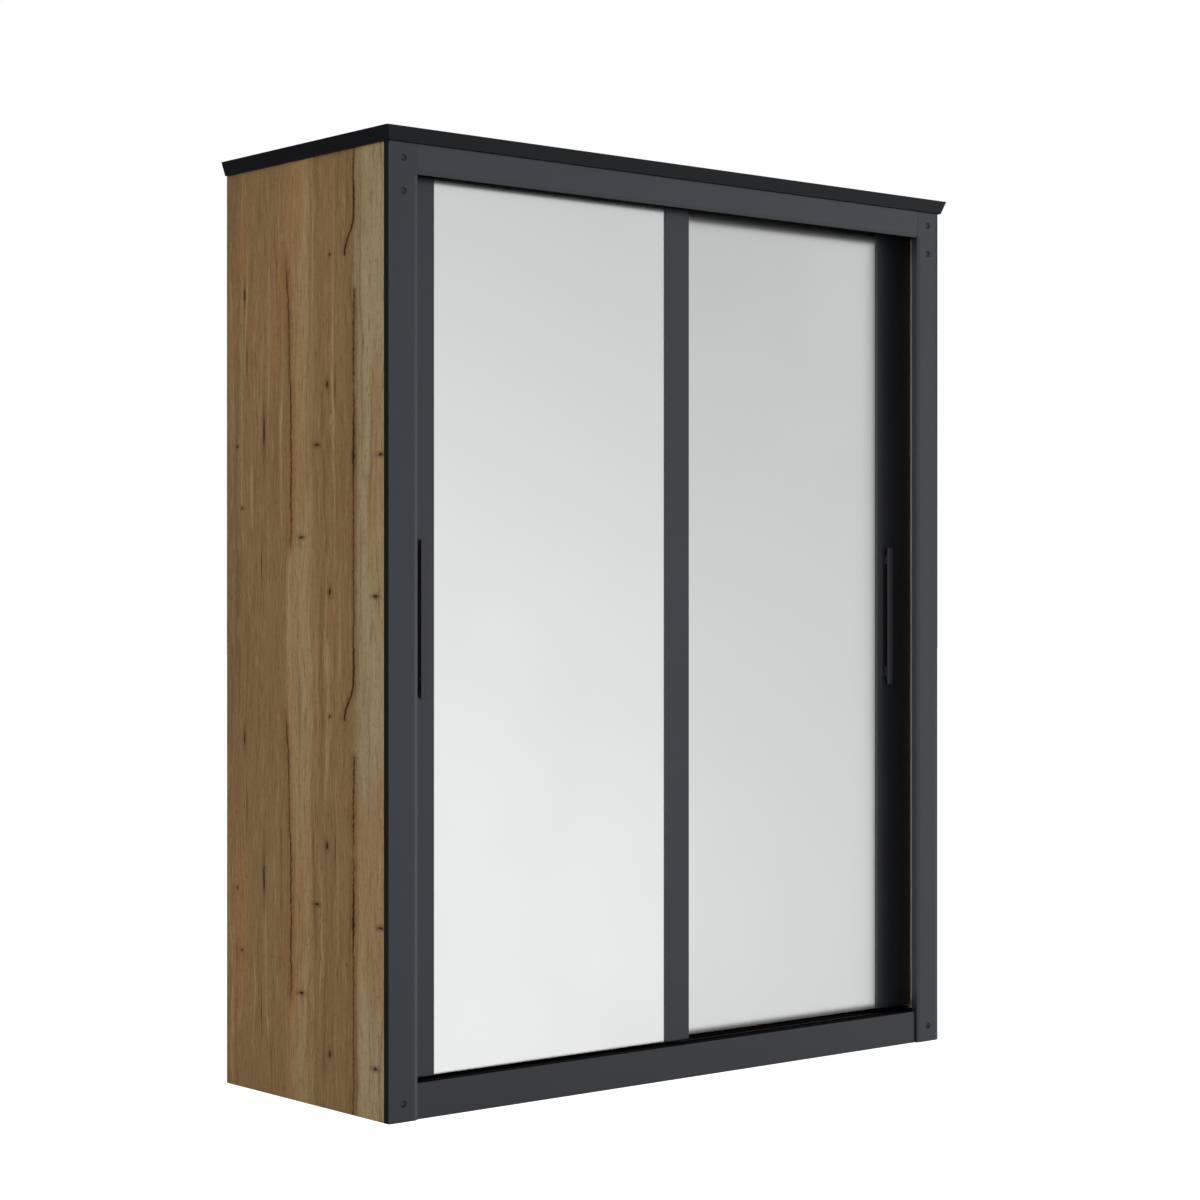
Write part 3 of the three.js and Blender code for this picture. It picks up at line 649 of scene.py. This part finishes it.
def make_rollers():
    """Grooved wheels with rounded rims on plain axles with domed ends."""
    for side in SIDES:
        for end in ENDS:
            wheel_node = f"{side}_door_{end}_roller_wheel"
            axle_node = f"{side}_door_{end}_roller_axle"
            centre, low, high = middle_of(wheel_node)
            rim = (high.x - low.x) / 2
            half = (high.y - low.y) / 2
            axle_centre, axle_low, axle_high = middle_of(axle_node)
            axle = (axle_high.x - axle_low.x) / 2
            bore = axle + BORE_CLEARANCE
            outline = ((bore, -half), (0.45 * rim, -half), (0.47 * rim, -0.8 * half),
                       (0.75 * rim, -0.8 * half), (0.77 * rim, -half),
                       (rim - 0.0008, -half), (rim - 0.0002, -half + 0.0003),
                       (rim, -half + 0.0008), (rim - 0.0012, -0.4 * half), (rim - 0.0018, -0.2 * half))
            rings = [(radius, distance, "round") for radius, distance in outline]
            rings += [(radius, -distance, "round") for radius, distance in reversed(outline)]
            mesh = bmesh.new()
            add_turned(mesh, rings, centre, (0, 1, 0), WHEEL_SIDES, hollow=True)
            finish_piece(f"{wheel_node}_turned", mesh, MATERIALS["nylon"],
                         f"{side}_{end}_wheel", (wheel_node,))

            length = axle_high.y - axle_low.y
            rings = ((0.55 * axle, 0.0, "round"), (0.85 * axle, 0.0002, "round"), (axle, 0.0007, "round"),
                     (axle, length - 0.0007, "round"), (0.85 * axle, length - 0.0002, "round"),
                     (0.55 * axle, length, "round"))
            mesh = bmesh.new()
            place = (axle_centre.x, axle_low.y, axle_centre.z)
            add_turned(mesh, rings, place, (0, 1, 0), AXLE_SIDES)
            finish_piece(f"{axle_node}_turned", mesh, MATERIALS["steel"],
                         f"{side}_door", (axle_node,))


def make_clothes_rail():
    """An oval tube with rolled-in ends."""
    centre, low, high = middle_of("clothes_rail")
    radius = (high.y - low.y) / 2
    length = high.x - low.x
    inner = radius - RAIL_WALL
    rings = ((radius - 0.0004, 0.0, "oval"), (radius, 0.0005, "oval"), (radius, length - 0.0005, "oval"),
             (radius - 0.0004, length, "oval"), (inner, length, "oval"), (inner, 0.0, "oval"))
    mesh = bmesh.new()
    add_turned(mesh, rings, (low.x, centre.y, centre.z), (1, 0, 0), RAIL_SIDES, hollow=True)
    finish_piece("clothes_rail_tube", mesh, MATERIALS["steel"], "carcass", ("clothes_rail",))


def make_shelf_pins():
    """Four pins with a collar under each shelf, which stand out of the walls beside it."""
    inset = 0.06
    drop = 0.0048
    for shelf in SHELF_NODES:
        low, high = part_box(shelf)
        mesh = bmesh.new()
        for wall_x, inward in ((low.x, 1), (high.x, -1)):
            for y in (low.y + inset, high.y - inset):
                add_turned(mesh, SHELF_PIN, (wall_x, y, low.z - drop), (inward, 0, 0), PIN_SIDES)
        finish_piece(f"{shelf}_pins", mesh, MATERIALS["steel"], "carcass")


def spread(start, end, count):
    """Evenly spaced values, from start to end."""
    return [start + (end - start) * step / (count - 1) for step in range(count)]


def make_back_nails():
    """Nails down both sides of each back panel, and across its top and its foot."""
    inset = 0.009
    lowest_row = 0.06
    column_margin = 0.02
    row_margin = 0.11
    nails_up = 17
    nails_across = 6
    for side in SIDES:
        low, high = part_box(f"{side}_back_panel")
        columns = (low.x + inset, high.x - inset)
        rows = (low.z + lowest_row, high.z - inset)
        heights = spread(low.z + column_margin, high.z - column_margin, nails_up)
        places = spread(low.x + row_margin, high.x - row_margin, nails_across)
        spots = [(x, z) for x in columns for z in heights]
        spots += [(x, z) for x in places for z in rows]
        mesh = bmesh.new()
        for x, z in spots:
            add_turned(mesh, NAIL_HEAD, (x, high.y, z), (0, 1, 0), NAIL_SIDES)
        finish_piece(f"{side}_back_nails", mesh, MATERIALS["steel"], "carcass")


def make_track_screws():
    """Screws in the bottom track's base, between its ribs."""
    margin = 0.05
    count = 6
    base = 0.002
    centre, low, high = middle_of("bottom_track")
    mesh = bmesh.new()
    for x in spread(low.x + margin, high.x - margin, count):
        add_turned(mesh, PAN_HEAD, (x, centre.y, low.z + base), (0, 0, 1), SMALL_SCREW_SIDES)
    finish_piece("bottom_track_screws", mesh, MATERIALS["screw_graphite"], "carcass")


def make_rail_socket_screws():
    """One screw above and one below the rail in each socket's plate."""
    from_centre = 0.0195
    plate = 0.004
    for side, inward in (("left", 1), ("right", -1)):
        centre, low, high = middle_of(f"rail_socket_{side}")
        wall_x = low.x if inward > 0 else high.x
        mesh = bmesh.new()
        for lift in (-from_centre, from_centre):
            place = (wall_x + inward * plate, centre.y, centre.z + lift)
            add_turned(mesh, PAN_HEAD, place, (inward, 0, 0), SMALL_SCREW_SIDES)
        finish_piece(f"rail_socket_{side}_screws", mesh, MATERIALS["steel"], "carcass")


def add_pile(mesh, corner, along, across, rise):
    """A strip of short fibres, as rows of tufts that are high and low by turns."""
    count = int(along.length / TUFT)
    rows = []
    for index, share in enumerate(spread(0.0, 1.0, count)):
        crest = 0.8 + 0.2 * (index % 2)
        section = ((0.0, 0.0), (0.08, 0.8 * crest), (0.5, crest), (0.92, 0.8 * crest), (1.0, 0.0))
        rows.append([mesh.verts.new(corner + along * share + across * aside + rise * lift)
                     for aside, lift in section])
    for first, second in zip(rows, rows[1:]):
        for step in range(len(first)):
            after = (step + 1) % len(first)
            mesh.faces.new((first[step], second[step], second[after], first[after]))
    mesh.faces.new(rows[0])
    mesh.faces.new(list(reversed(rows[-1])))


def make_painted_shade_strip(rail_node, name, face_z, rise):
    """Black pile along the rail's upper or lower face, over nearly its whole thickness. It is painted shade:
    a black strip laid in the gap by the doors, which is in shade.
    """
    end_margin = 0.001
    side_margin = 0.0004
    low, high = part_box(rail_node)
    mesh = bmesh.new()
    add_pile(mesh, Vector((low.x + end_margin, low.y + side_margin, face_z)),
             Vector((high.x - low.x - 2 * end_margin, 0, 0)),
             Vector((0, high.y - low.y - 2 * side_margin, 0)), Vector((0, 0, rise)))
    finish_piece(name, mesh, MATERIALS["black_pile_painted_shade"], "carcass", smooth=False)


def make_painted_light_strips():
    """Pale pile on the inner faces of the side panels, which the closed doors stand close to. It is painted
    light: a pale strip that stands in for light falling on the panels' inner faces beside the doors.
    """
    width = 0.024
    margin = 0.01
    thickness = 0.002
    off_wall = 0.0001
    for side, outward in (("left", -1), ("right", 1)):
        centre, low, high = middle_of(f"{side}_door_outer_stile")
        panel_low, panel_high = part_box(f"{side}_side_panel")
        wall_x = panel_low.x if outward > 0 else panel_high.x
        mesh = bmesh.new()
        corner = Vector((wall_x - outward * off_wall, centre.y - width / 2, low.z + margin))
        add_pile(mesh, corner, Vector((0, 0, high.z - low.z - 2 * margin)), Vector((0, width, 0)),
                 Vector((-outward * thickness, 0, 0)))
        finish_piece(f"{side}_painted_light_strip", mesh, MATERIALS["pale_pile_painted_light"], "carcass",
                     smooth=False)


make_post_screws()
make_rollers()
make_clothes_rail()
make_shelf_pins()
make_back_nails()
make_track_screws()
make_rail_socket_screws()
# Painted shade: black strips fill the shaded gaps above the plinth rail and under the header rail.
make_painted_shade_strip("plinth_rail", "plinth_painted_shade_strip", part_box("plinth_rail")[1].z, 0.002)
make_painted_shade_strip("header_rail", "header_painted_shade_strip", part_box("header_rail")[0].z, -0.0012)
# Painted light: pale strips on the side panels beside the doors' outer stiles.
make_painted_light_strips()


# ---------------------------------------------------------------------------------------------
# Stage
# ---------------------------------------------------------------------------------------------

def make_floor():
    """A white floor that hardly shows a shadow.

    Its own glow is for the eye only, so it lights nothing, and gloss and mirrors don't reflect it.
    """
    bpy.ops.mesh.primitive_plane_add(size=FLOOR_SIZE, location=(0, 0, 0))
    floor = bpy.context.object
    floor.name = "floor"
    recipe = Recipe("floor")
    seen = recipe.node("ShaderNodeLightPath", {}).outputs["Is Camera Ray"]
    floor.data.materials.append(recipe.surface({
        "Base Color": (0.85, 0.85, 0.85, 1),
        "Roughness": 0.9,
        "Specular IOR Level": 0.0,
        "Emission Color": (1, 1, 1, 1),
        "Emission Strength": recipe.math("MULTIPLY", seen, FLOOR_GLOW),
    }))
    floor.visible_glossy = False


def make_studio_light():
    """Light that is bright from the left, even from the front and almost none from behind.

    A narrow bright band stands at the right. The eye sees plain white instead of this light.
    """
    world = bpy.data.worlds.new("studio")
    bpy.context.scene.world = world
    world.use_nodes = True
    recipe = Recipe.for_world(world)
    direction = recipe.node("ShaderNodeTexCoord", {}).outputs["Generated"]
    x, y, z = recipe.node("ShaderNodeSeparateXYZ", {0: direction}).outputs
    turn = recipe.math("ARCTAN2", x, recipe.math("MULTIPLY", y, -1.0))
    degrees = recipe.math("MULTIPLY", turn, 180 / math.pi)
    degrees = recipe.math("ADD", degrees, recipe.math("MULTIPLY", z, LIGHT_LEAN))
    around = recipe.grey_ramp(degrees, LIGHT_AROUND)
    upright = recipe.grey_ramp(z, LIGHT_UP)
    strength = recipe.math("MULTIPLY", around, upright)
    overhead = recipe.fade(z, OVERHEAD_START, OVERHEAD_FULL, 0.0, OVERHEAD_LIGHT)
    strength = recipe.math("ADD", strength, overhead)
    strength = recipe.math("ADD", strength, LEAST_LIGHT)
    light = recipe.node("ShaderNodeBackground", {0: (1, 1, 1, 1), 1: strength}).outputs[0]
    seen = recipe.node("ShaderNodeBackground", {0: (1, 1, 1, 1), 1: 1.0}).outputs[0]
    is_camera = recipe.node("ShaderNodeLightPath", {}).outputs["Is Camera Ray"]
    mixed = recipe.node("ShaderNodeMixShader", {0: is_camera, 1: light, 2: seen}).outputs[0]
    recipe.node("ShaderNodeOutputWorld", {0: mixed})


def make_camera():
    data = bpy.data.cameras.new("camera")
    data.lens = LENS_MM
    data.sensor_width = SENSOR_MM
    data.shift_y = FRAME_SHIFT_UP
    camera = bpy.data.objects.new("camera", data)
    bpy.context.scene.collection.objects.link(camera)
    camera.location = EYE
    camera.rotation_euler = (math.radians(90), 0, VIEW_TURN)
    bpy.context.scene.camera = camera


make_floor()
make_studio_light()
make_camera()
bpy.context.scene.view_settings.view_transform = "Standard"
